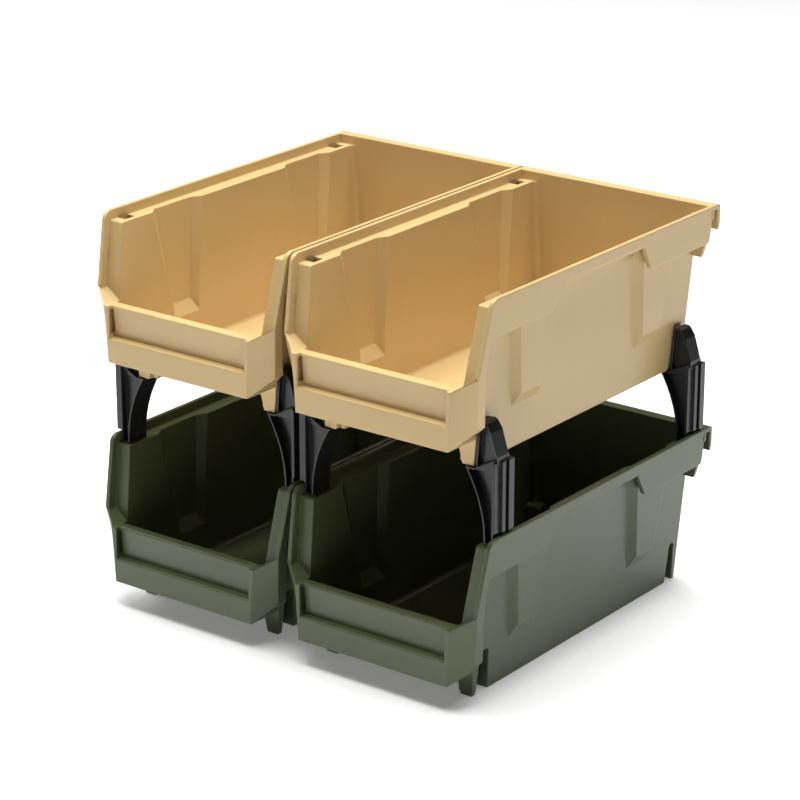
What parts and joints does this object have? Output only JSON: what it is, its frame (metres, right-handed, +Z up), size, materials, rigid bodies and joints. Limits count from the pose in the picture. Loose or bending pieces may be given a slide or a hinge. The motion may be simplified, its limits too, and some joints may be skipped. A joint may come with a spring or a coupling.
{
  "type": "stackable storage bin",
  "caption": "Open-fronted storage bins with hook lips and label fields, side by side in tiers, the upper bins raised on riser posts that plug into slots in the rims.",
  "frame": {"origin": "on the floor, at the centre of the footprint of the whole set", "axes": "+Z up, the open fronts of the bins face -Y, +X to the right as seen from the front"},
  "size_m": [0.211, 0.187, 0.181],
  "materials": {
    "green_bin_plastic": "satin moulded polypropylene",
    "tan_bin_plastic": "satin moulded polypropylene",
    "black_post_plastic": "satin moulded polypropylene"
  },
  "bodies": {
    "left_lower_bin": {"left_lower_bin": "green_bin_plastic"},
    "left_upper_bin": {"left_upper_bin": "tan_bin_plastic"},
    "left_column_front_left_post": {"left_column_front_left_post": "black_post_plastic"},
    "left_column_front_right_post": {"left_column_front_right_post": "black_post_plastic"},
    "left_column_rear_left_post": {"left_column_rear_left_post": "black_post_plastic"},
    "left_column_rear_right_post": {"left_column_rear_right_post": "black_post_plastic"},
    "right_lower_bin": {"right_lower_bin": "green_bin_plastic"},
    "right_upper_bin": {"right_upper_bin": "tan_bin_plastic"},
    "right_column_front_left_post": {"right_column_front_left_post": "black_post_plastic"},
    "right_column_front_right_post": {"right_column_front_right_post": "black_post_plastic"},
    "right_column_rear_left_post": {"right_column_rear_left_post": "black_post_plastic"},
    "right_column_rear_right_post": {"right_column_rear_right_post": "black_post_plastic"}
  },
  "joints": [
    {"name": "right_column_shift", "type": "slide", "parent": "left_lower_bin", "child": "right_lower_bin", "axis": [1, 0, 0], "range_m": [0, 0.12]},
    {"name": "left_bin_lift", "type": "slide", "parent": "left_lower_bin", "child": "left_upper_bin", "axis": [0, 0, 1], "range_m": [0, 0.06]},
    {"name": "left_column_front_left_post_lift", "type": "slide", "parent": "left_lower_bin", "child": "left_column_front_left_post", "axis": [0, 0, 1], "range_m": [0, 0.03]},
    {"name": "left_column_front_right_post_lift", "type": "slide", "parent": "left_lower_bin", "child": "left_column_front_right_post", "axis": [0, 0, 1], "range_m": [0, 0.03]},
    {"name": "left_column_rear_left_post_lift", "type": "slide", "parent": "left_lower_bin", "child": "left_column_rear_left_post", "axis": [0, 0, 1], "range_m": [0, 0.03]},
    {"name": "left_column_rear_right_post_lift", "type": "slide", "parent": "left_lower_bin", "child": "left_column_rear_right_post", "axis": [0, 0, 1], "range_m": [0, 0.03]},
    {"name": "right_bin_lift", "type": "slide", "parent": "right_lower_bin", "child": "right_upper_bin", "axis": [0, 0, 1], "range_m": [0, 0.06]},
    {"name": "right_column_front_left_post_lift", "type": "slide", "parent": "right_lower_bin", "child": "right_column_front_left_post", "axis": [0, 0, 1], "range_m": [0, 0.03]},
    {"name": "right_column_front_right_post_lift", "type": "slide", "parent": "right_lower_bin", "child": "right_column_front_right_post", "axis": [0, 0, 1], "range_m": [0, 0.03]},
    {"name": "right_column_rear_left_post_lift", "type": "slide", "parent": "right_lower_bin", "child": "right_column_rear_left_post", "axis": [0, 0, 1], "range_m": [0, 0.03]},
    {"name": "right_column_rear_right_post_lift", "type": "slide", "parent": "right_lower_bin", "child": "right_column_rear_right_post", "axis": [0, 0, 1], "range_m": [0, 0.03]}
  ],
  "couplings": [
    {"joint": "left_column_front_left_post_lift", "follows": "left_bin_lift", "ratio": 0.5},
    {"joint": "left_column_front_right_post_lift", "follows": "left_bin_lift", "ratio": 0.5},
    {"joint": "left_column_rear_left_post_lift", "follows": "left_bin_lift", "ratio": 0.5},
    {"joint": "left_column_rear_right_post_lift", "follows": "left_bin_lift", "ratio": 0.5},
    {"joint": "right_column_front_left_post_lift", "follows": "right_bin_lift", "ratio": 0.5},
    {"joint": "right_column_front_right_post_lift", "follows": "right_bin_lift", "ratio": 0.5},
    {"joint": "right_column_rear_left_post_lift", "follows": "right_bin_lift", "ratio": 0.5},
    {"joint": "right_column_rear_right_post_lift", "follows": "right_bin_lift", "ratio": 0.5}
  ]
}
